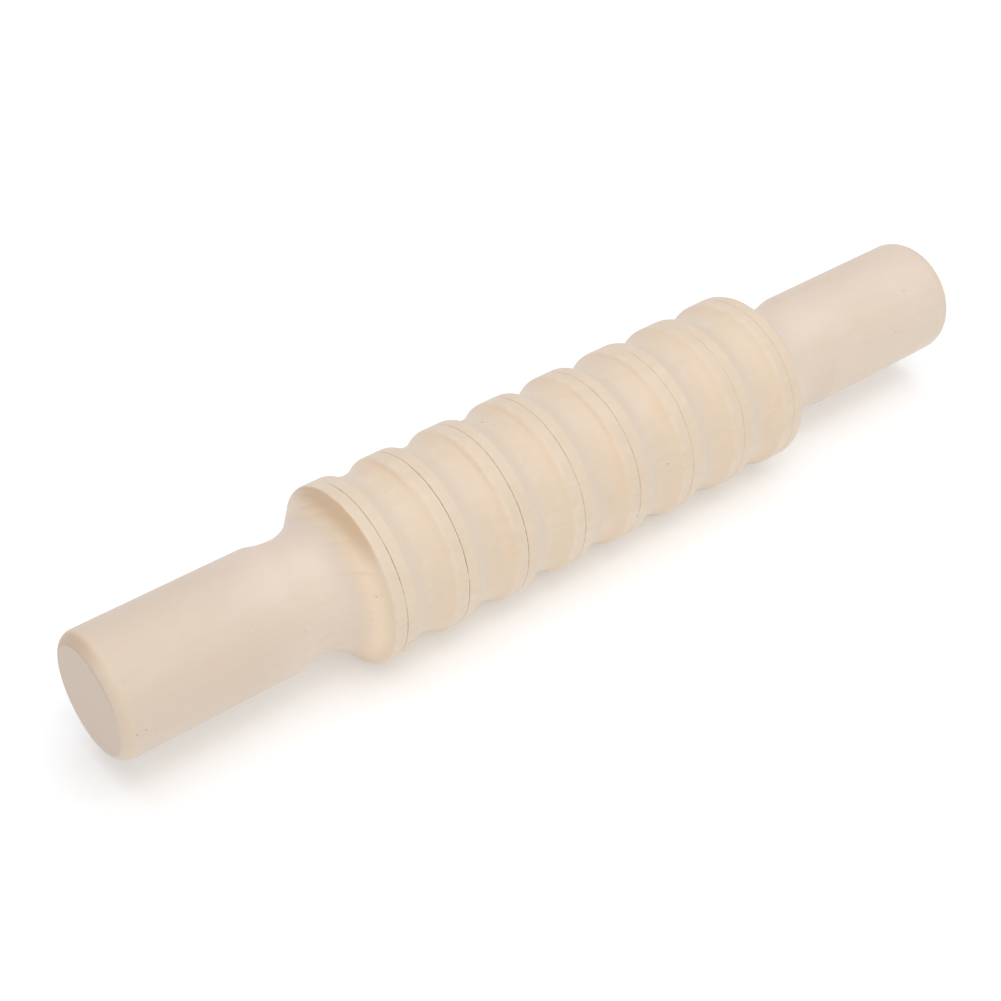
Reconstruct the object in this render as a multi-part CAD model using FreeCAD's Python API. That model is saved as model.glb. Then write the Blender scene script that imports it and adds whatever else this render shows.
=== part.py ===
import FreeCAD, Part
import math
import os

# Wood edge slicker: one bar of hardwood turned between centres, used to rub leather edges smooth.
# The axis of turning is X and the middle of the tool is the origin, so a radius is a height above X.
# From the middle outwards come flat lands with round-bottomed grooves between them, a deep cove that
# runs into a narrow neck, a gentle sweep up to the grip, and a rounded end. Both halves are alike.

# Driving dimensions, in millimetres
LAND_DIAMETER = 35.0
LAND_WIDTH = 5.0
LAND_COUNT = 8
LAND_PITCH = 13.65
GROOVE_DEPTH = 1.45
SCORE_WIDTH = 0.26
SCORE_DEPTH = 0.18
NECK_DIAMETER = 22.4
COVE_RADIUS = 8.6
SWEEP_RADIUS = 17.8
GRIP_DIAMETER = 24.2
LAND_EDGE_ROUND = 1.4
LIP_ROUND = 0.8
SHOULDER_ROUND = 4.0
END_ROUND = 2.7

# The rounding of an end stops this many degrees short of its flat face, which leaves a faint edge
END_EDGE_ANGLE = 20.0

# Driving distances outwards from the middle of each outer land, in millimetres
COVE_LIP_REACH = 2.25
NECK_REACH = 11.7
END_REACH = 53.3

# Derived radii
LAND_RADIUS = LAND_DIAMETER / 2
NECK_RADIUS = NECK_DIAMETER / 2
GRIP_RADIUS = GRIP_DIAMETER / 2

# Derived places along X, for the half on the +X side
LAND_PLACES = [(number - (LAND_COUNT - 1) / 2) * LAND_PITCH for number in range(LAND_COUNT)]
OUTER_LAND = LAND_PLACES[-1]
COVE_LIP = OUTER_LAND + COVE_LIP_REACH
NECK_PLACE = OUTER_LAND + NECK_REACH
SWEEP_RISE = GRIP_RADIUS - NECK_RADIUS
GRIP_START = NECK_PLACE + math.sqrt(2 * SWEEP_RADIUS * SWEEP_RISE - SWEEP_RISE ** 2)
TOOL_END = OUTER_LAND + END_REACH
GRIP_END = TOOL_END - END_ROUND * math.cos(math.radians(END_EDGE_ANGLE))

# Rings closer to a wanted place or radius than this are the same ring
SAME_PLACE = 0.01


def at(place, radius):
    """The point of the outline at this place along X and this height above it."""
    return FreeCAD.Vector(place, 0, radius)


def straight(start, end):
    """A straight stretch of the outline."""
    return Part.LineSegment(start, end).toShape()


def round_stretch(start, middle, end):
    """A stretch of the outline that is an arc through three points."""
    return Part.Arc(start, middle, end).toShape()


def below(centre, radius, angle):
    """The point of a circle at this angle from straight down, positive towards +X."""
    return centre + FreeCAD.Vector(math.sin(angle), 0, -math.cos(angle)) * radius


def above(centre, radius, angle):
    """The point of a circle at this angle from straight up, positive towards +X."""
    return centre + FreeCAD.Vector(math.sin(angle), 0, math.cos(angle)) * radius


def land_sides(place):
    """Where a land starts and ends: an outer land is a little narrower on the side of the cove."""
    start = max(place - LAND_WIDTH / 2, -COVE_LIP)
    end = min(place + LAND_WIDTH / 2, COVE_LIP)
    return start, end


def land(place):
    """A flat land with the fine V-shaped score round it."""
    start, end = land_sides(place)
    corners = [
        at(start, LAND_RADIUS),
        at(place - SCORE_WIDTH / 2, LAND_RADIUS),
        at(place, LAND_RADIUS - SCORE_DEPTH),
        at(place + SCORE_WIDTH / 2, LAND_RADIUS),
        at(end, LAND_RADIUS),
    ]
    return [straight(corner, next_corner) for corner, next_corner in zip(corners, corners[1:])]


def groove(left_land, right_land):
    """The round-bottomed groove from one land to the next."""
    start = land_sides(left_land)[1]
    middle = (left_land + right_land) / 2
    end = land_sides(right_land)[0]
    return round_stretch(at(start, LAND_RADIUS), at(middle, LAND_RADIUS - GROOVE_DEPTH), at(end, LAND_RADIUS))


def cove_angle(lip, centre):
    """How steep the cove's straight wall is, as it runs from the outer land's lip to touch the cove's arc."""
    reach = centre - lip
    return math.asin(COVE_RADIUS / reach.Length) - math.atan2(reach.z, reach.x)


def cove_and_neck():
    """From the outer land's lip down the cove to the neck, then up the sweep to the grip."""
    lip = at(COVE_LIP, LAND_RADIUS)
    neck = at(NECK_PLACE, NECK_RADIUS)
    cove_centre = at(NECK_PLACE, NECK_RADIUS + COVE_RADIUS)
    steepness = cove_angle(lip, cove_centre)
    touch = below(cove_centre, COVE_RADIUS, -steepness)
    sweep_centre = at(NECK_PLACE, NECK_RADIUS + SWEEP_RADIUS)
    sweep_angle = math.asin((GRIP_START - NECK_PLACE) / SWEEP_RADIUS)
    return [
        straight(lip, touch),
        round_stretch(touch, below(cove_centre, COVE_RADIUS, -steepness / 2), neck),
        round_stretch(neck, below(sweep_centre, SWEEP_RADIUS, sweep_angle / 2), at(GRIP_START, GRIP_RADIUS)),
    ]


def grip():
    """The straight grip, the rounding of its end and the flat end face."""
    start = at(GRIP_START, GRIP_RADIUS)
    end = at(GRIP_END, GRIP_RADIUS)
    round_centre = at(GRIP_END, GRIP_RADIUS - END_ROUND)
    round_angle = math.radians(90 - END_EDGE_ANGLE)
    face_edge = above(round_centre, END_ROUND, round_angle)
    return [
        straight(start, end),
        round_stretch(end, above(round_centre, END_ROUND, round_angle / 2), face_edge),
        straight(face_edge, at(TOOL_END, 0)),
    ]


def outline():
    """The closed half section of the tool, from end to end above the axis."""
    edges = [straight(at(-TOOL_END, 0), at(TOOL_END, 0))]
    for place in LAND_PLACES:
        edges += land(place)
    for left_land, right_land in zip(LAND_PLACES, LAND_PLACES[1:]):
        edges.append(groove(left_land, right_land))
    half = cove_and_neck() + grip()
    edges += half
    edges += [edge.mirror(at(0, 0), FreeCAD.Vector(1, 0, 0)) for edge in half]
    return Part.Wire(Part.__sortEdges__(edges))


def rings(solid, radius, places):
    """The solid's circular edges with this radius at these places along X, on both halves."""
    found = []
    for edge in solid.Edges:
        if not isinstance(edge.Curve, Part.Circle):
            continue
        place = abs(edge.Curve.Center.x)
        near = [wanted for wanted in places if abs(place - wanted) < SAME_PLACE]
        if near and abs(edge.Curve.Radius - radius) < SAME_PLACE:
            found.append(edge)
    return found


def turned_body():
    """The whole tool: the outline turned once round the axis, with its sharp corners eased."""
    body = Part.Face(outline()).revolve(at(0, 0), FreeCAD.Vector(1, 0, 0), 360)
    land_edges = [abs(side) for place in LAND_PLACES for side in land_sides(place) if abs(side) < COVE_LIP]
    body = body.makeFillet(LAND_EDGE_ROUND, rings(body, LAND_RADIUS, land_edges))
    body = body.makeFillet(LIP_ROUND, rings(body, LAND_RADIUS, [COVE_LIP]))
    return body.makeFillet(SHOULDER_ROUND, rings(body, GRIP_RADIUS, [GRIP_START]))


def write_step(node, shape):
    """Check that the piece is one sound solid, and write it under its node's name."""
    solid = shape.Solids[0]
    sound = len(shape.Solids) == 1 and solid.isValid() and solid.isClosed()
    if not sound:
        raise ValueError(node + " is not one sound solid")
    solid.exportStep("parts/" + node + ".step")
    box = solid.optimalBoundingBox()
    print(node, "is %.2f x %.2f x %.2f mm" % (box.XLength, box.YLength, box.ZLength))
    print(node, "has %d faces and %.1f cubic mm" % (len(solid.Faces), solid.Volume))


os.makedirs("parts", exist_ok=True)
write_step("turned_body", turned_body())
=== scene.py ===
import math

import bpy
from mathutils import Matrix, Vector, noise


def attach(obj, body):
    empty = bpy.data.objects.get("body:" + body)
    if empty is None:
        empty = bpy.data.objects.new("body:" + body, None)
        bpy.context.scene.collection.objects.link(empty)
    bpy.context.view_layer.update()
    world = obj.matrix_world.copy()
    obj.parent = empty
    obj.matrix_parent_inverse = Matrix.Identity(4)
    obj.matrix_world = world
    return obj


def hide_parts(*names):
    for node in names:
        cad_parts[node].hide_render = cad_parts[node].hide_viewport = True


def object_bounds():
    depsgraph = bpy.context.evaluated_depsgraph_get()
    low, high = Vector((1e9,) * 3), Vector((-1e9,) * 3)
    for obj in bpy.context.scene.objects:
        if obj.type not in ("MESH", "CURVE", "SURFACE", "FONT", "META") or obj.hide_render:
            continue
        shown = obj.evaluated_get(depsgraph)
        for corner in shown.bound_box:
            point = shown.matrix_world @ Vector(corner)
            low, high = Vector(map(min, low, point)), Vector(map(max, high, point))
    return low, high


# Wood edge slicker: one turned piece of pale hardwood, lying on its lands on a white table.
# It replaces the CAD node with a finer turned mesh that has the irregular score lines cut into it.

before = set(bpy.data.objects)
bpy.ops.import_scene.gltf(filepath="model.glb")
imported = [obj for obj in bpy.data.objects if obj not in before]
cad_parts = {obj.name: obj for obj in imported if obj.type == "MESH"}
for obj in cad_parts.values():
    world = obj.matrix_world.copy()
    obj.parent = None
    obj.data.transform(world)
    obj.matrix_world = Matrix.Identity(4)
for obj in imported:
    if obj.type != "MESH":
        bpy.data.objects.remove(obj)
cad_low, cad_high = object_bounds()

MM = 0.001
TURN = 2 * math.pi

# Sizes of the turned piece, in millimetres, as the CAD model has them
LAND_RADIUS = 17.5
LAND_WIDTH = 5.0
LAND_COUNT = 8
LAND_PITCH = 13.65
GROOVE_DEPTH = 1.45
NECK_RADIUS = 11.2
COVE_RADIUS = 8.6
SWEEP_RADIUS = 17.8
GRIP_RADIUS = 12.1
LAND_EDGE_ROUND = 1.4
LIP_ROUND = 0.8
SHOULDER_ROUND = 4.0
END_ROUND = 2.7
END_EDGE_ANGLE = math.radians(20)
COVE_LIP_REACH = 2.25
NECK_REACH = 11.7

# Places along X, in millimetres
LAND_PLACES = [(number - (LAND_COUNT - 1) / 2) * LAND_PITCH for number in range(LAND_COUNT)]
OUTER_LAND = LAND_PLACES[-1]
COVE_LIP = OUTER_LAND + COVE_LIP_REACH
FLAT_RADIUS = GRIP_RADIUS - END_ROUND + END_ROUND * math.sin(END_EDGE_ANGLE)
NECK_PLACE = OUTER_LAND + NECK_REACH
TOOL_END = cad_high.x / MM

# The score line round each land, from the -X end to the +X end: how wide, how deep and how strongly cut
SCORE_WIDTH = 0.26
SCORE_DEPTH = 0.18
SCORE_STRENGTHS = (0.82, 1.0, 0.84, 0.64, 0.64, 0.53, 0.42, 0.40)

# Where a score line is bridged by a fibre or fades: land, angle in degrees from +Z towards +Y, half length
SCORE_BREAKS = (
    (0, 36, 7.5),
    (0, -128, 3.0),
    (1, -81, 0.7),
    (4, -110, 3.0),
    (5, 24, 6.0),
    (6, 12, 5.0),
)
BREAK_CORE = 0.3

# How a score changes round its land: changes per millimetre, step in the noise between lands, and amount
SLOW_CHANGE = (0.12, 7.3, 0.35)
QUICK_CHANGE = (0.9, 3.1, 0.4)
WANDER = (0.2, 5.7, 0.05)
WEAKEST_CUT = 0.15
STRONGEST_CUT = 1.3

# Offsets from the middle of a score line, in half widths: rings beside it, torn fibres, and its reach
SCORE_RINGS = (0.5, 1, 1.5, 2.6, 5)
TORN_OFFSET = -1.5
SCORE_REACH = 4

# Steps of the mesh round the tool and over each stretch of its outline
STEPS_AROUND = 236
GROOVE_STEPS = 7
LAND_EDGE_STEPS = 5
LIP_STEPS = 6
WALL_STEPS = 6
COVE_STEPS = 18
SWEEP_STEPS = 8
SHOULDER_STEPS = 4
GRIP_STEPS = 14
END_ROUND_STEPS = 9
END_FACE_STEPS = 12

# The first ring of the flat face lies this far inside its edge, in millimetres
EDGE_INSET = 0.12


# ---------------------------------------------------------------- the outline

def arc(centre, radius, start, end, steps):
    """Points on a circle of the outline. Angles are from straight down, positive towards +X."""
    angles = [start + (end - start) * step / steps for step in range(steps + 1)]
    return [(centre[0] + radius * math.sin(a), centre[1] - radius * math.cos(a)) for a in angles]


def between(start, end, steps):
    """Evenly spaced points between two ends, with neither end among them."""
    shares = [step / steps for step in range(1, steps)]
    return [(start[0] + (end[0] - start[0]) * s, start[1] + (end[1] - start[1]) * s) for s in shares]


def half_groove():
    """From the bottom of a groove at x = 0 up its flank and over the eased edge of the land."""
    half_width = (LAND_PITCH - LAND_WIDTH) / 2
    groove_radius = (half_width ** 2 + GROOVE_DEPTH ** 2) / (2 * GROOVE_DEPTH)
    reach = groove_radius + LAND_EDGE_ROUND
    lift = reach - GROOVE_DEPTH
    turn = math.acos(lift / reach)
    edge_place = math.sqrt(reach ** 2 - lift ** 2)
    groove_centre = (0, LAND_RADIUS + groove_radius - GROOVE_DEPTH)
    edge_centre = (edge_place, LAND_RADIUS - LAND_EDGE_ROUND)
    bottom = arc(groove_centre, groove_radius, 0, turn, GROOVE_STEPS)
    return bottom + arc(edge_centre, LAND_EDGE_ROUND, math.pi + turn, math.pi, LAND_EDGE_STEPS)[1:]


def score_offsets():
    """Offsets from the middle of a land where the mesh has rings, close together at the score line."""
    half = SCORE_WIDTH / 2
    side = [half * share for share in SCORE_RINGS]
    return [-offset for offset in reversed(side)] + [0.0] + side


def lip_and_cove():
    """Over the outer land's lip, down the cove's wall and round the cove to the neck."""
    lip = Vector((COVE_LIP, LAND_RADIUS))
    centre = Vector((NECK_PLACE, NECK_RADIUS + COVE_RADIUS))
    reach = centre - lip
    steepness = math.asin(COVE_RADIUS / reach.length) - math.atan2(reach.y, reach.x)
    cut_back = LIP_ROUND * math.tan(steepness / 2)
    lip_centre = (COVE_LIP - cut_back, LAND_RADIUS - LIP_ROUND)
    lip_round = arc(lip_centre, LIP_ROUND, math.pi, math.pi - steepness, LIP_STEPS)
    cove = arc(centre, COVE_RADIUS, -steepness, 0, COVE_STEPS)
    return lip_round + between(lip_round[-1], cove[0], WALL_STEPS) + cove


def sweep_and_grip():
    """From the neck up the gentle sweep, over its soft shoulder and along the grip."""
    reach = SWEEP_RADIUS + SHOULDER_ROUND
    lift = reach - (GRIP_RADIUS - NECK_RADIUS)
    turn = math.acos(lift / reach)
    shoulder_place = NECK_PLACE + math.sqrt(reach ** 2 - lift ** 2)
    sweep_centre = (NECK_PLACE, NECK_RADIUS + SWEEP_RADIUS)
    shoulder_centre = (shoulder_place, GRIP_RADIUS - SHOULDER_ROUND)
    sweep = arc(sweep_centre, SWEEP_RADIUS, 0, turn, SWEEP_STEPS)[1:]
    shoulder = arc(shoulder_centre, SHOULDER_ROUND, math.pi + turn, math.pi, SHOULDER_STEPS)[1:]
    return sweep + shoulder + between(shoulder[-1], end_round()[0], GRIP_STEPS)


def end_round():
    """Round the end of the grip, as far as the faint edge of the flat face."""
    place = TOOL_END - END_ROUND * math.cos(END_EDGE_ANGLE)
    centre = (place, GRIP_RADIUS - END_ROUND)
    return arc(centre, END_ROUND, math.pi, math.pi / 2 + END_EDGE_ANGLE, END_ROUND_STEPS)


def end_face():
    """In across the flat face from its edge, as far as the last small ring."""
    beside_edge = (TOOL_END, end_round()[-1][1] - EDGE_INSET)
    return [beside_edge] + between(beside_edge, (TOOL_END, 0), END_FACE_STEPS)


def outline():
    """The whole outline from the -X end to the +X end, as places along X and radii, all in millimetres."""
    flank = half_groove()
    half = []
    for land_place in LAND_PLACES[LAND_COUNT // 2:]:
        half += [(land_place - LAND_PITCH / 2 + x, radius) for x, radius in flank]
        half += [(land_place + offset, LAND_RADIUS) for offset in score_offsets()]
        if land_place != OUTER_LAND:
            half += [(land_place + LAND_PITCH / 2 - x, radius) for x, radius in reversed(flank[1:])]
    half += lip_and_cove() + sweep_and_grip() + end_round() + end_face()
    return [(-x, radius) for x, radius in reversed(half[1:])] + half


# ---------------------------------------------------------------- the turned mesh

def ease(share):
    """0 to 1 with soft ends."""
    share = min(max(share, 0.0), 1.0)
    return share * share * (3 - 2 * share)


def change_round(land, angle, change):
    """A smooth change round a land, which is different on each land."""
    changes_per_mm, land_step, amount = change
    round_land = Vector((math.cos(angle), math.sin(angle), 0)) * LAND_RADIUS
    return amount * noise.noise(round_land * changes_per_mm + Vector((0, 0, land * land_step)))


def unbroken(land, angle):
    """How much of the score line is left at this angle, from 0 in a break to 1."""
    left = 1.0
    for broken_land, middle, half_length in SCORE_BREAKS:
        if broken_land == land:
            apart = (angle - math.radians(middle) + math.pi) % TURN - math.pi
            left *= ease(abs(apart) * LAND_RADIUS / half_length - BREAK_CORE)
    return left


def score_strength(land, angle):
    """How strongly the score is cut here: each land has its own strength, and it varies round the land."""
    uneven = 1 + change_round(land, angle, SLOW_CHANGE) + change_round(land, angle, QUICK_CHANGE)
    return SCORE_STRENGTHS[land] * unbroken(land, angle) * min(max(uneven, WEAKEST_CUT), STRONGEST_CUT)


def turned_point(place, radius, angle):
    """One point of the surface in millimetres, and how much it is score line and torn fibre beside it."""
    land = min(range(LAND_COUNT), key=lambda number: abs(place - LAND_PLACES[number]))
    offset = (place - LAND_PLACES[land]) / (SCORE_WIDTH / 2)
    cut = 0.0
    torn = 0.0
    if abs(offset) < SCORE_REACH:
        strength = score_strength(land, angle)
        cut = max(0.0, 1 - abs(offset)) * strength
        torn = max(0.0, 1 - abs(offset - TORN_OFFSET)) * strength
        place += change_round(land, angle, WANDER) * ease(2 - 2 * abs(offset) / SCORE_REACH)
        radius -= cut * SCORE_DEPTH
    return (place, radius * math.sin(angle), radius * math.cos(angle)), cut, torn


def side_faces(ring_count):
    """The squares between neighbouring rings."""
    faces = []
    for ring in range(ring_count - 1):
        for step in range(STEPS_AROUND):
            here = ring * STEPS_AROUND + step
            beside = ring * STEPS_AROUND + (step + 1) % STEPS_AROUND
            faces.append((here, here + STEPS_AROUND, beside + STEPS_AROUND, beside))
    return faces


def fan_faces(ring, centre, at_low_end):
    """The triangles between the last small ring of an end face and the point in its middle."""
    faces = []
    for step in range(STEPS_AROUND):
        here = ring * STEPS_AROUND + step
        beside = ring * STEPS_AROUND + (step + 1) % STEPS_AROUND
        faces.append((centre, here, beside) if at_low_end else (centre, beside, here))
    return faces


def turned_mesh(name):
    """The outline turned round X, with the score lines cut in and their strength kept as an attribute."""
    stations = outline()
    points = []
    cuts = []
    burrs = []
    for place, radius in stations:
        for step in range(STEPS_AROUND):
            point, cut, torn = turned_point(place, radius, TURN * step / STEPS_AROUND)
            points.append(Vector(point) * MM)
            cuts.append(cut)
            burrs.append(torn)
    faces = side_faces(len(stations))
    for end, ring in ((-TOOL_END, 0), (TOOL_END, len(stations) - 1)):
        faces += fan_faces(ring, len(points), end < 0)
        points.append(Vector((end * MM, 0, 0)))
        cuts.append(0.0)
        burrs.append(0.0)
    mesh = bpy.data.meshes.new(name)
    mesh.from_pydata(points, [], faces)
    mesh.attributes.new("score", "FLOAT", "POINT").data.foreach_set("value", cuts)
    mesh.attributes.new("burr", "FLOAT", "POINT").data.foreach_set("value", burrs)
    mesh.shade_smooth()
    return mesh


# ---------------------------------------------------------------- material building

def add(tree, kind, settings=None, **inputs):
    """A new node with its settings and with its inputs linked or set. Input names have _ for a space."""
    node = tree.nodes.new(kind)
    for name, value in (settings or {}).items():
        setattr(node, name, value)
    for name, value in inputs.items():
        set_input(tree, node.inputs[name.replace("_", " ")], value)
    return node


def set_input(tree, socket, value):
    """Link the socket to another node's output, or set it to a number, a colour or a vector."""
    if isinstance(value, bpy.types.NodeSocket):
        tree.links.new(value, socket)
    else:
        socket.default_value = value


def calculate(tree, operation, *values):
    """One arithmetic step on numbers."""
    node = add(tree, "ShaderNodeMath", {"operation": operation})
    for socket, value in zip(node.inputs, values):
        set_input(tree, socket, value)
    return node.outputs["Value"]


def vector_step(tree, operation, *values, output="Vector"):
    """One arithmetic step on vectors."""
    node = add(tree, "ShaderNodeVectorMath", {"operation": operation})
    for socket, value in zip(node.inputs, values):
        set_input(tree, socket, value)
    return node.outputs[output]


def stretch(tree, vector, factors):
    """The vector with each of its parts multiplied."""
    return vector_step(tree, "MULTIPLY", vector, factors)


def shift(tree, vector, step):
    """The vector moved by a fixed step."""
    return vector_step(tree, "ADD", vector, step)


def length_of(tree, vector):
    """How long the vector is."""
    return vector_step(tree, "LENGTH", vector, output="Value")


def rise(tree, value, span, top=1.0):
    """0 at the start of the span and top at its end, with soft ends."""
    node = add(tree, "ShaderNodeMapRange", {"interpolation_type": "SMOOTHSTEP"}, Value=value)
    node.inputs["From Min"].default_value = span[0]
    node.inputs["From Max"].default_value = span[1]
    node.inputs["To Max"].default_value = top
    return node.outputs["Result"]


def mixed(tree, share, first, second):
    """Two colours mixed by a share from 0 to 1. The node's colour inputs are 6 and 7, its output is 2."""
    node = add(tree, "ShaderNodeMix", {"data_type": "RGBA"})
    set_input(tree, node.inputs[0], share)
    set_input(tree, node.inputs[6], first)
    set_input(tree, node.inputs[7], second)
    return node.outputs[2]


def noise_of(tree, vector, scale, detail=2.0, roughness=0.5):
    """Soft noise from 0 to 1, with its scale in features per millimetre."""
    node = add(tree, "ShaderNodeTexNoise", Vector=vector, Scale=scale, Detail=detail, Roughness=roughness)
    return node.outputs["Fac"]


def product(tree, *values):
    """Several shares multiplied together."""
    total = values[0]
    for value in values[1:]:
        total = calculate(tree, "MULTIPLY", total, value)
    return total


# ---------------------------------------------------------------- the wood

# Colours of the bare wood and of the light and shade painted on it, scene linear
NEAR_WOOD = (0.700, 0.578, 0.466, 1)
FAR_WOOD = (0.742, 0.616, 0.502, 1)
NECK_WOOD = (0.745, 0.620, 0.512, 1)
BODY_WOOD = (0.750, 0.612, 0.470, 1)
# Painted warm bounce light on the -X flanks
WARM_BOUNCE_WOOD = (0.785, 0.632, 0.478, 1)
# Painted sheen, grey, on the +X flanks
SHEEN_GREY_WOOD = (0.715, 0.596, 0.474, 1)
# Painted light on the -X cove's wall, paler and warmer
LIT_WALL_WOOD = (0.925, 0.740, 0.555, 1)
PEACH_WOOD = (0.800, 0.592, 0.415, 1)
END_WOOD = (0.655, 0.522, 0.408, 1)
RIM_WOOD = (0.725, 0.592, 0.455, 1)
TAN_WOOD = (0.700, 0.565, 0.425, 1)
LATE_WOOD = (0.560, 0.400, 0.270, 1)
BROWN_WOOD = (0.540, 0.360, 0.225, 1)
# Amber-brown painted shade under the -X lip
LIP_SHADE_AMBER = (0.560, 0.365, 0.200, 1)
# Colour of the lip lines, the first of which is painted shade
STREAK_AND_LIP_SHADE_WOOD = (0.640, 0.415, 0.255, 1)
PALE_FIBRE = (0.860, 0.780, 0.670, 1)
SCORE_WOOD = (0.330, 0.220, 0.130, 1)
RUSTY_SCORE = (0.450, 0.240, 0.120, 1)
SPECK_WOOD = (0.300, 0.200, 0.130, 1)

# Each pair below gives where a look starts and where it is full. ALONG is a place or a distance along X.
# ALONG, RADII, HEIGHTS and REACH are in millimetres. FACING is the part of the surface's normal along X,
# from -1 to 1, or how large that part is. The other pairs are noise or a phase, from 0 to 1. A STRETCH
# multiplies X, Y and Z before a noise, and a SHARE is how strongly a look shows.

# Broad tones
NEAR_TO_FAR_ALONG = (-70, 60)
NECK_TO_GRIP_ALONG = (76, 64)
NECK_TO_LAND_ALONG = (50, 56)
BODY_RADII = (12.2, 16.0)

# How many finer layers the blotchy noises have
FINE_DETAIL = 3.0

# Soft clouds all over, and smaller mottles that are strongest on the body
CLOUD_STRETCH = (0.06, 0.12, 0.12)
CLOUD_TAN = (0.45, 0.70)
CLOUD_TAN_SHARE = 0.28
CLOUD_PALE = (0.48, 0.30)
CLOUD_PALE_SHARE = 0.10
MOTTLE_STRETCH = (0.22, 0.42, 0.42)
MOTTLE_TAN = (0.5, 0.7)
MOTTLE_TAN_SHARE = 0.15
MOTTLE_PALE = (0.5, 0.3)
MOTTLE_PALE_SHARE = 0.11
MOTTLES_ON_GRIPS = 0.2

# Painted sheen: the flanks that face +X are greyer
SHEEN_GREY_FACING = (0.05, 0.35)
SHEEN_GREY_RADII = (13.0, 15.5)

# Painted warm bounce light on the flanks that face -X, brighter painted light on the wall of the -X cove,
# and the peach blotches on these flanks
FLANK_FACING = (-0.05, -0.45)
FLANK_RADII = (12.0, 16.0)
WALL_ALONG = (-49.5, -50.5)
WALL_RADII = (17.4, 14.4)
WALL_TOP_HEIGHTS = (18, 10)
WALL_FOOT_HEIGHTS = (-14, -4)
BLOTCH_STRETCH = (0.10, 0.17, 0.17)
BLOTCHES = (0.46, 0.64)
PEACH_HEIGHTS = (-8, 12)
PEACH_LOW_SHARE = 0.10
PEACH_HIGH_EXTRA = 0.26

# Painted highlight: a pale line along the rounded -X edges of the lands
EDGE_HIGHLIGHT_STRETCH = (0.5, 0.35, 0.35)
EDGE_HIGHLIGHT_RADII = (LAND_RADIUS - 0.5, LAND_RADIUS - 0.1)
EDGE_HIGHLIGHT_FACING = (0.02, -0.14)
EDGE_HIGHLIGHT_PATCHES = (0.35, 0.65)
EDGE_HIGHLIGHT_SHARE = 0.20

# The tree's heart lies beside the bar: its place in Y and Z, the spacing of the growth rings, how far the
# grain climbs along X, and how far the rings bend
HEART = (-16.0, -23.0)
RING_SPACING = 1.7
GRAIN_SLOPE = 0.012
RING_BEND = 3.5
RING_BEND_STRETCH = (0.04, 0.09, 0.09)

# Late wood darkens slowly through each ring, and ends sharply
LATE_START = (0.25, 0.85)
LATE_END = (1.0, 0.88)

# The rings show most high on the shoulders that cut the grain
RING_FACING = (0.3, 0.7)
RING_OFF_FLAT_FACING = (0.97, 0.88)
RING_RADII = (16.9, 16.0)
RING_HEIGHTS = (4, 14)
RING_PATCH_STRETCH = (0.2, 0.15, 0.15)
RING_PATCHES = (0.35, 0.6)
RING_SHOULDER_SHARE = 0.26
RING_LEAST_SHARE = 0.05

# Painted shade, amber-brown, at the top of the -X shoulder under the lip
LIP_SHADE_ALONG = (-44, -50)
LIP_SHADE_FACING = (-0.25, -0.7)
LIP_SHADE_RADII = (13.6, 16.4)
LIP_SHADE_HEIGHTS = (9, 16)
LIP_SHADE_SHARE = 0.62

# The rim round each end face is brownest at an angle from +Z towards +Y, and the face has a faint crease
RIM_ALONG = (98.0, 99.4)
RIM_FACING = (0.1, 0.6)
RIM_LEAN = math.radians(38)
RIM_REACH = (4.0, 11.2)
RIM_SHARE = 0.61
FLAT_FACING = (0.95, 0.99)
END_STRETCH = (0.1, 0.28, 0.28)
END_BLOTCHES = (0.4, 0.7)
END_BLOTCH_SHARE = 0.22
CREASE_REACH = (0.3, 0.08)
CREASE_HEIGHTS = (1.0, 8.0)
CREASE_SHARE = 0.5

# Brown lines just under the -X edges of lands: place, middle angle, half angle, half width, darkness. The
# first line, at the foot of the -X cove's lip, is painted shade.
LIP_LINES = (
    (-50.35, 26, 20, 0.34, 0.72),
    (-51.1, 24, 14, 0.34, 0.40),
    (-50.7, -38, 16, 0.34, 0.20),
    (-37.5, 8, 28, 1.1, 0.27),
    (-23.7, -12, 34, 1.1, 0.26),
    (-10.1, 2, 26, 1.1, 0.18),
    (3.65, -20, 30, 0.9, 0.17),
    (17.3, 4, 30, 0.9, 0.17),
)

# A lip line is full within these shares of its half width and half length, and its edge is ragged
LINE_CORE = 0.35
LINE_MIDDLE = 0.4
LINE_RAGGED = 0.9
LINE_NOISE_SCALE = 0.9

# Small marks: place along X, angle in degrees from +Z towards +Y, radius, length, width, darkness
MARKS = (
    (-52.0, -68, 15.3, 0.4, 0.35, 0.55),
    (-14.4, 14, 16.1, 0.5, 0.45, 0.85),
    (-65.1, -74, 12.1, 0.4, 0.35, 0.35),
    (15.0, -77, 16.2, 0.7, 0.35, 0.5),
    (-98.8, -90, 12.1, 0.5, 0.5, 0.45),
    (-97.1, -89, 12.1, 0.45, 0.4, 0.55),
    (6.6, -103, 17.5, 0.6, 0.45, 0.6),
    (89.2, -40, 12.1, 1.1, 0.8, 0.16),
    (83.5, -75, 12.1, 1.3, 0.9, 0.13),
    (-46.2, -112, 17.5, 2.8, 0.22, 0.6),
)

# A mark fades between these distances from its middle, in halves of its size
MARK_EDGE = (1.2, 0.4)

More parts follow.
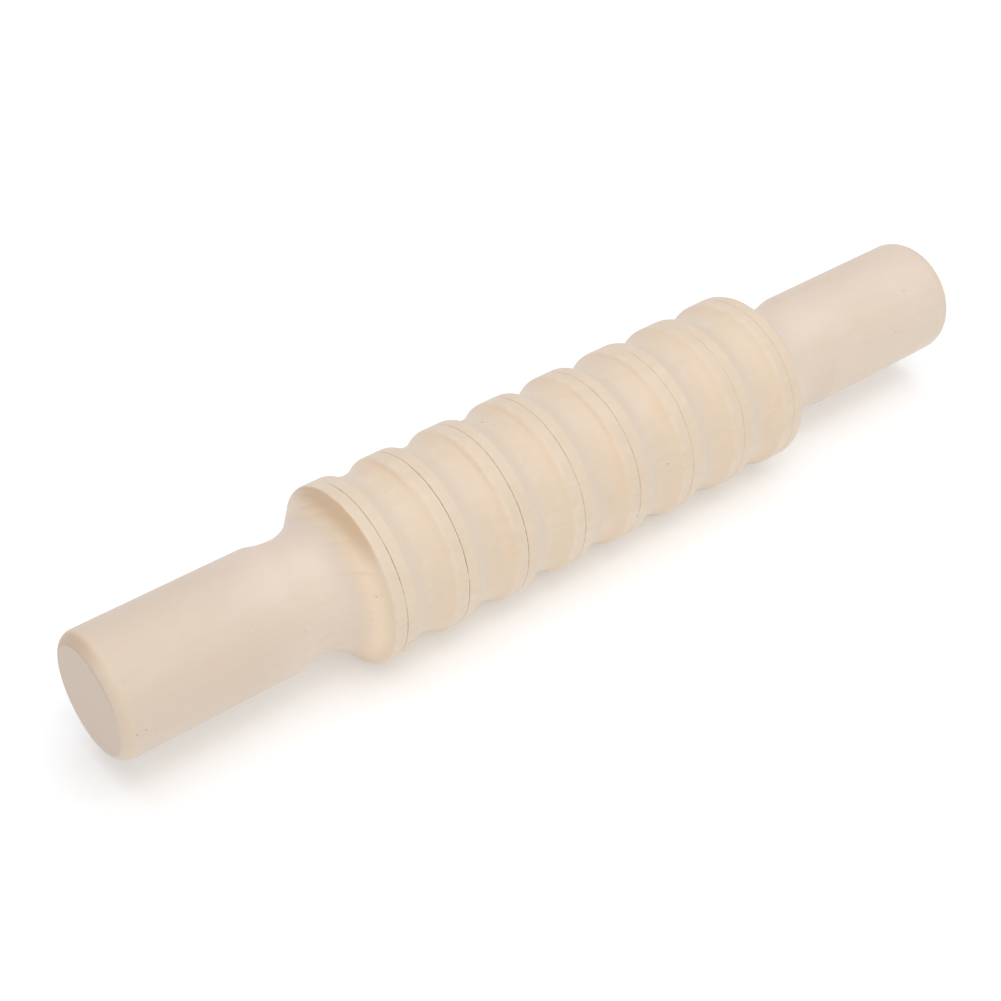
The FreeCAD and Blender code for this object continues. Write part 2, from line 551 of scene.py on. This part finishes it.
# Fibres along the grain, and short dark and pale ticks in clusters
FIBRE_STRETCH = (0.22, 1.0, 1.0)
FIBRE_SCALE = 2.0
FIBRE_DETAIL = 4.0
FIBRE_CONTRAST = 0.65
DARK_FIBRES = (0.5, 0.75)
DARK_FIBRE_SHARE = 0.03
PALE_FIBRES = (0.5, 0.25)
PALE_FIBRE_SHARE = 0.04
DARK_TICK_STRETCH = (0.7, 2.6, 2.6)
DARK_TICKS = (0.66, 0.78)
DARK_TICK_SHARE = 0.26
PALE_TICK_STRETCH = (0.8, 2.8, 2.8)
PALE_TICK_SCALE = 1.1
PALE_TICKS = (0.67, 0.79)
PALE_TICK_SHARE = 0.36
CLUSTER_STRETCH = (0.10, 0.22, 0.22)
CLUSTERS = (0.46, 0.64)

# Score lines and the fibres torn beside them are crumbly, and turn from dark and pale to rusty towards +X.
# The pale on the torn fibres is a painted highlight on their raised burr.
RUSTY_ALONG = (-25, 5)
CRUMB_SCALE = 3.5
TORN_CRUMBS = (0.42, 0.6)
TORN_SHARE = 0.85
SCORE_CRUMBS = (0.2, 0.55)
SCORE_SHARE = 0.9

# Gloss and relief
LEAST_ROUGHNESS = 0.50
FIBRE_ROUGHNESS = 0.12
TICK_RELIEF = 0.8
BUMP_STRENGTH = 0.28
BUMP_HEIGHT = 0.06 * MM
SPECULAR_LEVEL = 0.4
SHEEN = 0.22
SHEEN_ROUGHNESS = 0.5


def surface_facts(tree):
    """What the wood's look depends on: the place in millimetres and which way the surface faces."""
    coordinates = tree.nodes.new("ShaderNodeTexCoord")
    place = stretch(tree, coordinates.outputs["Object"], (1 / MM, 1 / MM, 1 / MM))
    parts = add(tree, "ShaderNodeSeparateXYZ", Vector=place)
    facing = add(tree, "ShaderNodeSeparateXYZ", Vector=coordinates.outputs["Normal"]).outputs["X"]
    return {
        "place": place,
        "along": parts.outputs["X"],
        "from_middle": calculate(tree, "ABSOLUTE", parts.outputs["X"]),
        "height": parts.outputs["Z"],
        "radius": length_of(tree, stretch(tree, place, (0, 1, 1))),
        "facing": facing,
        "end_grain": calculate(tree, "ABSOLUTE", facing),
    }


def broad_tone(tree, facts):
    """The plain colour of each stretch: pinkish grips, paler necks and yellower lands, softly clouded."""
    place = facts["place"]
    colour = mixed(tree, rise(tree, facts["along"], NEAR_TO_FAR_ALONG), NEAR_WOOD, FAR_WOOD)
    neck = product(
        tree,
        rise(tree, facts["from_middle"], NECK_TO_GRIP_ALONG),
        rise(tree, facts["from_middle"], NECK_TO_LAND_ALONG),
    )
    colour = mixed(tree, neck, colour, NECK_WOOD)
    body = rise(tree, facts["radius"], BODY_RADII)
    colour = mixed(tree, body, colour, BODY_WOOD)
    clouds = noise_of(tree, stretch(tree, place, CLOUD_STRETCH), 1.0, 2.0)
    colour = mixed(tree, rise(tree, clouds, CLOUD_TAN, CLOUD_TAN_SHARE), colour, TAN_WOOD)
    colour = mixed(tree, rise(tree, clouds, CLOUD_PALE, CLOUD_PALE_SHARE), colour, PALE_FIBRE)
    mottles = noise_of(tree, stretch(tree, place, MOTTLE_STRETCH), 1.0, FINE_DETAIL)
    uneven = calculate(tree, "MULTIPLY_ADD", body, 1 - MOTTLES_ON_GRIPS, MOTTLES_ON_GRIPS)
    tan = product(tree, rise(tree, mottles, MOTTLE_TAN, MOTTLE_TAN_SHARE), uneven)
    pale = product(tree, rise(tree, mottles, MOTTLE_PALE, MOTTLE_PALE_SHARE), uneven)
    return mixed(tree, pale, mixed(tree, tan, colour, TAN_WOOD), PALE_FIBRE)


def flank_light_and_peach(tree, facts, colour):
    """Painted light: the +X flanks are greyer with painted sheen, the -X flanks are warmer with painted
    bounce light and the -X cove's wall is paler still. The -X flanks are part peach.
    """
    sheen_grey = product(
        tree,
        rise(tree, facts["facing"], SHEEN_GREY_FACING),
        rise(tree, facts["radius"], SHEEN_GREY_RADII),
    )
    # Painted sheen: grey on the flanks that face +X
    colour = mixed(tree, sheen_grey, colour, SHEEN_GREY_WOOD)
    flank = product(
        tree,
        rise(tree, facts["facing"], FLANK_FACING),
        rise(tree, facts["radius"], FLANK_RADII),
    )
    # Painted bounce light: warmer on the flanks that face -X
    colour = mixed(tree, flank, colour, WARM_BOUNCE_WOOD)
    wall = product(
        tree,
        flank,
        rise(tree, facts["along"], WALL_ALONG),
        rise(tree, facts["radius"], WALL_RADII),
        rise(tree, facts["height"], WALL_TOP_HEIGHTS),
        rise(tree, facts["height"], WALL_FOOT_HEIGHTS),
    )
    # Painted light: the -X cove's wall paler and warmer still
    colour = mixed(tree, wall, colour, LIT_WALL_WOOD)
    blotches = noise_of(tree, stretch(tree, facts["place"], BLOTCH_STRETCH), 1.0, FINE_DETAIL)
    high = rise(tree, facts["height"], PEACH_HEIGHTS)
    share = calculate(tree, "MULTIPLY_ADD", high, PEACH_HIGH_EXTRA, PEACH_LOW_SHARE)
    peach = product(tree, flank, rise(tree, blotches, BLOTCHES), share)
    return mixed(tree, peach, colour, PEACH_WOOD)


def edge_highlight(tree, facts):
    """A painted highlight: the soft pale line along the rounded -X edge of each land."""
    ragged = noise_of(tree, stretch(tree, facts["place"], EDGE_HIGHLIGHT_STRETCH), 1.0, FINE_DETAIL)
    return product(
        tree,
        rise(tree, facts["radius"], EDGE_HIGHLIGHT_RADII),
        rise(tree, facts["facing"], EDGE_HIGHLIGHT_FACING),
        rise(tree, ragged, EDGE_HIGHLIGHT_PATCHES, EDGE_HIGHLIGHT_SHARE),
    )


def growth_rings(tree, facts):
    """How much late wood shows: a soft line at the outside of every growth ring."""
    place = facts["place"]
    from_heart = shift(tree, stretch(tree, place, (0, 1, 1)), (0, -HEART[0], -HEART[1]))
    distance = calculate(tree, "MULTIPLY_ADD", facts["along"], GRAIN_SLOPE, length_of(tree, from_heart))
    bends = noise_of(tree, stretch(tree, place, RING_BEND_STRETCH), 1.0, 2.0)
    distance = calculate(tree, "MULTIPLY_ADD", bends, RING_BEND, distance)
    rings = calculate(tree, "DIVIDE", distance, RING_SPACING)
    phase = calculate(tree, "FRACT", rings)
    late = product(tree, rise(tree, phase, LATE_START), rise(tree, phase, LATE_END))
    which = calculate(tree, "FLOOR", rings)
    uneven = add(tree, "ShaderNodeTexWhiteNoise", {"noise_dimensions": "1D"}, W=which).outputs["Value"]
    return product(tree, late, uneven)


def ring_share(tree, facts):
    """Where the rings show: hardly on the sides, and more high on the shoulders that cut the grain."""
    high_shoulder = product(
        tree,
        rise(tree, facts["end_grain"], RING_FACING),
        rise(tree, facts["end_grain"], RING_OFF_FLAT_FACING),
        rise(tree, facts["radius"], RING_RADII),
        rise(tree, facts["height"], RING_HEIGHTS),
    )
    patches = noise_of(tree, stretch(tree, facts["place"], RING_PATCH_STRETCH), 1.0, 2.0)
    visible = product(tree, high_shoulder, rise(tree, patches, RING_PATCHES, RING_SHOULDER_SHARE))
    return product(tree, growth_rings(tree, facts), calculate(tree, "ADD", visible, RING_LEAST_SHARE))


def shoulder_shade(tree, facts):
    """Painted shade, amber-brown, at the top of the shoulder, just under the lip of the -X land."""
    return product(
        tree,
        rise(tree, facts["along"], LIP_SHADE_ALONG),
        rise(tree, facts["facing"], LIP_SHADE_FACING),
        rise(tree, facts["radius"], LIP_SHADE_RADII),
        rise(tree, facts["height"], LIP_SHADE_HEIGHTS, LIP_SHADE_SHARE),
    )


def end_tones(tree, facts, colour):
    """The end faces are greyer, and the rounded rim round them is tan, browner at the top."""
    rim = rise(tree, facts["from_middle"], RIM_ALONG)
    colour = mixed(tree, rim, colour, RIM_WOOD)
    brownest = (0, math.sin(RIM_LEAN), math.cos(RIM_LEAN))
    lean = vector_step(tree, "DOT_PRODUCT", facts["place"], brownest, output="Value")
    brown = product(
        tree,
        rim,
        rise(tree, facts["end_grain"], RIM_FACING),
        rise(tree, lean, RIM_REACH, RIM_SHARE),
    )
    colour = mixed(tree, brown, colour, BROWN_WOOD)
    flat = rise(tree, facts["end_grain"], FLAT_FACING)
    blotches = noise_of(tree, stretch(tree, facts["place"], END_STRETCH), 1.0, FINE_DETAIL)
    end_wood = mixed(tree, rise(tree, blotches, END_BLOTCHES, END_BLOTCH_SHARE), END_WOOD, TAN_WOOD)
    colour = mixed(tree, flat, colour, end_wood)
    from_edge = calculate(tree, "ABSOLUTE", calculate(tree, "SUBTRACT", facts["radius"], FLAT_RADIUS))
    crease = product(
        tree,
        rim,
        rise(tree, from_edge, CREASE_REACH),
        rise(tree, facts["height"], CREASE_HEIGHTS, CREASE_SHARE),
    )
    return mixed(tree, crease, colour, BROWN_WOOD)


def surface_point(place, degrees, radius):
    """The point at a place along X and an angle from +Z towards +Y, in millimetres."""
    angle = math.radians(degrees)
    return Vector((place, radius * math.sin(angle), radius * math.cos(angle)))


def lip_lines(tree, facts):
    """How dark the lines under the -X edges of the lands are."""
    total = 0.0
    ragged = noise_of(tree, facts["place"], LINE_NOISE_SCALE, FINE_DETAIL)
    for place, middle, half_angle, half_width, darkness in LIP_LINES:
        away = shift(tree, facts["place"], (-place, 0, 0))
        across = calculate(tree, "ABSOLUTE", add(tree, "ShaderNodeSeparateXYZ", Vector=away).outputs["X"])
        across = calculate(tree, "MULTIPLY_ADD", ragged, LINE_RAGGED * half_width, across)
        reach = length_of(tree, shift(tree, facts["place"], -surface_point(place, middle, LAND_RADIUS)))
        half_length = LAND_RADIUS * math.radians(half_angle)
        line = product(
            tree,
            rise(tree, across, (half_width, half_width * LINE_CORE)),
            rise(tree, reach, (half_length, half_length * LINE_MIDDLE), darkness),
        )
        total = calculate(tree, "MAXIMUM", total, line)
    return total


def marks(tree, facts):
    """How dark the small specks, the split and the soft spots are."""
    total = 0.0
    for place, degrees, radius, length, width, darkness in MARKS:
        away = shift(tree, facts["place"], -surface_point(place, degrees, radius))
        distance = length_of(tree, stretch(tree, away, (2 / length, 2 / width, 2 / width)))
        total = calculate(tree, "MAXIMUM", total, rise(tree, distance, MARK_EDGE, darkness))
    return total


def fibres_and_ticks(tree, place):
    """The noises for the fibres, the dark ticks and the pale ticks, which all run along the grain."""
    fibres = noise_of(tree, stretch(tree, place, FIBRE_STRETCH), FIBRE_SCALE, FIBRE_DETAIL, FIBRE_CONTRAST)
    dark_noise = noise_of(tree, stretch(tree, place, DARK_TICK_STRETCH), 1.0, 1.0)
    pale_noise = noise_of(tree, stretch(tree, place, PALE_TICK_STRETCH), PALE_TICK_SCALE, 1.0)
    return fibres, rise(tree, dark_noise, DARK_TICKS), rise(tree, pale_noise, PALE_TICKS)


def fibre_tones(tree, place, colour, fibres, dark_ticks, pale_ticks):
    """The colour with its fibres and ticks."""
    colour = mixed(tree, rise(tree, fibres, DARK_FIBRES, DARK_FIBRE_SHARE), colour, LATE_WOOD)
    colour = mixed(tree, rise(tree, fibres, PALE_FIBRES, PALE_FIBRE_SHARE), colour, PALE_FIBRE)
    clusters = rise(tree, noise_of(tree, stretch(tree, place, CLUSTER_STRETCH), 1.0, 1.0), CLUSTERS)
    colour = mixed(tree, product(tree, dark_ticks, clusters, DARK_TICK_SHARE), colour, LATE_WOOD)
    return mixed(tree, product(tree, pale_ticks, clusters, PALE_TICK_SHARE), colour, PALE_FIBRE)


def score_tones(tree, facts, colour):
    """The colour with the score lines and the torn fibres beside them, whose pale is a painted highlight on
    their raised burr.
    """
    score = add(tree, "ShaderNodeAttribute", {"attribute_name": "score"}).outputs["Fac"]
    burr = add(tree, "ShaderNodeAttribute", {"attribute_name": "burr"}).outputs["Fac"]
    crumbs = noise_of(tree, facts["place"], CRUMB_SCALE, 2.0)
    rusty = rise(tree, facts["along"], RUSTY_ALONG)
    # Painted highlight: the torn fibres' raised burr is pale towards -X
    torn_share = product(tree, burr, rise(tree, crumbs, TORN_CRUMBS, TORN_SHARE))
    colour = mixed(tree, torn_share, colour, mixed(tree, rusty, PALE_FIBRE, LATE_WOOD))
    score_share = product(tree, score, rise(tree, crumbs, SCORE_CRUMBS, SCORE_SHARE))
    return mixed(tree, score_share, colour, mixed(tree, rusty, SCORE_WOOD, RUSTY_SCORE))


def relief(tree, fibres, dark_ticks, pale_ticks):
    """The bumped normal: fine fibres, with the dark ticks sunk and the pale ticks raised."""
    height = calculate(tree, "MULTIPLY_ADD", dark_ticks, -TICK_RELIEF, fibres)
    height = calculate(tree, "MULTIPLY_ADD", pale_ticks, TICK_RELIEF, height)
    bump = add(tree, "ShaderNodeBump", Height=height, Strength=BUMP_STRENGTH, Distance=BUMP_HEIGHT)
    return bump.outputs["Normal"]


def wood():
    """Bare sanded hardwood: pale, with short fibres along X, faint rings and dark score lines, and with
    painted sheen, bounce light, shade and highlights in its colour.
    """
    material = bpy.data.materials.new("hardwood_with_painted_light")
    material.use_nodes = True
    tree = material.node_tree
    shader = tree.nodes["Principled BSDF"]
    facts = surface_facts(tree)
    fibres, dark_ticks, pale_ticks = fibres_and_ticks(tree, facts["place"])

    # Painted sheen on the +X flanks, and painted bounce light on the -X flanks and the -X cove's wall
    colour = flank_light_and_peach(tree, facts, broad_tone(tree, facts))
    colour = mixed(tree, ring_share(tree, facts), colour, LATE_WOOD)
    # Painted shade under the lip of the -X land
    colour = mixed(tree, shoulder_shade(tree, facts), colour, LIP_SHADE_AMBER)
    # Painted highlight along the -X edges of the lands
    colour = mixed(tree, edge_highlight(tree, facts), colour, PALE_FIBRE)
    colour = end_tones(tree, facts, colour)
    # The first lip line is painted shade at the foot of the -X cove's lip
    colour = mixed(tree, lip_lines(tree, facts), colour, STREAK_AND_LIP_SHADE_WOOD)
    colour = fibre_tones(tree, facts["place"], colour, fibres, dark_ticks, pale_ticks)
    colour = score_tones(tree, facts, colour)
    colour = mixed(tree, marks(tree, facts), colour, SPECK_WOOD)
    set_input(tree, shader.inputs["Base Color"], colour)

    roughness = calculate(tree, "MULTIPLY_ADD", fibres, FIBRE_ROUGHNESS, LEAST_ROUGHNESS)
    set_input(tree, shader.inputs["Roughness"], roughness)
    set_input(tree, shader.inputs["Normal"], relief(tree, fibres, dark_ticks, pale_ticks))
    shader.inputs["Specular IOR Level"].default_value = SPECULAR_LEVEL
    shader.inputs["Sheen Weight"].default_value = SHEEN
    shader.inputs["Sheen Roughness"].default_value = SHEEN_ROUGHNESS
    return material


def turned_body():
    """The whole tool."""
    piece = bpy.data.objects.new("turned_hardwood_body", turned_mesh("turned_hardwood_body"))
    bpy.context.scene.collection.objects.link(piece)
    piece.data.materials.append(wood())
    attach(piece, "root")
    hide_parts("turned_body")


# ---------------------------------------------------------------- the studio

# The floor, which glows a little, and more far away so that it stays white there. Lengths are in metres.
FLOOR_HALF = 3.0
FLOOR_COLOUR = (0.812, 0.820, 0.830, 1)
FLOOR_ROUGHNESS = 0.9
FLOOR_GLOW = 0.3
FAR_GLOW = 0.76
FAR_GLOW_DISTANCES = (0.35, 1.3)

# The world lights the tool at one strength, and is seen as a white backdrop at another
WORLD_COLOUR = (1.0, 1.0, 1.0, 1)
WORLD_STRENGTH = 0.50
BACKDROP_STRENGTH = 1.0

# Soft square lights, the first slightly cool and the second slightly warm: name, place, size, power, colour
SOFTBOXES = (
    ("overhead_light", (0.12, 0.0, 1.2), 1.4, 7.8, (1.0, 1.0, 1.09)),
    ("front_light", (-0.1, -0.7, 1.0), 1.0, 3.9, (1.02, 1.0, 0.89)),
)

# The camera's view: it looks down on the tool from beside its -X end
CAMERA_AZIMUTH = math.radians(-38.64)
CAMERA_ELEVATION = math.radians(38.53)
CAMERA_DISTANCE = 0.3642
CAMERA_LENS = 67.93
CAMERA_CLIP = 0.01

# How far the middle of the tool lies to the right of and above the middle of the view, in metres
TOOL_RIGHT = 0.01027
TOOL_UP = 0.00597


def matt_white():
    """The floor's plain white material."""
    material = bpy.data.materials.new("matt_white")
    material.use_nodes = True
    tree = material.node_tree
    shader = tree.nodes["Principled BSDF"]
    shader.inputs["Base Color"].default_value = FLOOR_COLOUR
    shader.inputs["Roughness"].default_value = FLOOR_ROUGHNESS
    shader.inputs["Emission Color"].default_value = FLOOR_COLOUR
    distance = length_of(tree, tree.nodes.new("ShaderNodeTexCoord").outputs["Object"])
    extra = rise(tree, distance, FAR_GLOW_DISTANCES, FAR_GLOW - FLOOR_GLOW)
    set_input(tree, shader.inputs["Emission Strength"], calculate(tree, "ADD", extra, FLOOR_GLOW))
    return material


def studio_floor():
    """A large plain white table top under the tool."""
    corners = [(-1, -1), (1, -1), (1, 1), (-1, 1)]
    mesh = bpy.data.meshes.new("floor")
    mesh.from_pydata([(x * FLOOR_HALF, y * FLOOR_HALF, cad_low.z) for x, y in corners], [], [(0, 1, 2, 3)])
    mesh.materials.append(matt_white())
    floor = bpy.data.objects.new("floor", mesh)
    bpy.context.scene.collection.objects.link(floor)


def softbox(name, place, size, power, colour):
    """A square area light that points at the tool."""
    light = bpy.data.lights.new(name, "AREA")
    light.size = size
    light.energy = power
    light.color = colour
    holder = bpy.data.objects.new(name, light)
    holder.location = place
    holder.rotation_euler = (-Vector(place)).to_track_quat("-Z", "Y").to_euler()
    bpy.context.scene.collection.objects.link(holder)


def studio_light():
    """Even white light from all round, with a large soft light overhead and one high in front."""
    world = bpy.data.worlds.new("white_surround")
    bpy.context.scene.world = world
    world.use_nodes = True
    tree = world.node_tree
    background = tree.nodes["Background"]
    background.inputs["Color"].default_value = WORLD_COLOUR
    seen = tree.nodes.new("ShaderNodeLightPath").outputs["Is Camera Ray"]
    extra = BACKDROP_STRENGTH - WORLD_STRENGTH
    strength = calculate(tree, "MULTIPLY_ADD", seen, extra, WORLD_STRENGTH)
    set_input(tree, background.inputs["Strength"], strength)
    for light in SOFTBOXES:
        softbox(*light)


def studio_camera():
    """The camera at the viewing angle, aimed a little to the left of and below the tool's middle."""
    sideways = Vector((math.cos(CAMERA_AZIMUTH), math.sin(CAMERA_AZIMUTH), 0))
    level_ahead = Vector((-math.sin(CAMERA_AZIMUTH), math.cos(CAMERA_AZIMUTH), 0))
    ahead = level_ahead * math.cos(CAMERA_ELEVATION) - Vector((0, 0, math.sin(CAMERA_ELEVATION)))
    upward = sideways.cross(ahead)
    middle = (cad_low + cad_high) / 2
    lens = bpy.data.cameras.new("camera")
    lens.lens = CAMERA_LENS
    lens.clip_start = CAMERA_CLIP
    camera = bpy.data.objects.new("camera", lens)
    camera.location = middle - sideways * TOOL_RIGHT - upward * TOOL_UP - ahead * CAMERA_DISTANCE
    camera.rotation_euler = ahead.to_track_quat("-Z", "Y").to_euler()
    bpy.context.scene.collection.objects.link(camera)
    bpy.context.scene.camera = camera


bpy.context.scene.view_settings.view_transform = "Standard"
studio_camera()
studio_floor()
studio_light()
turned_body()
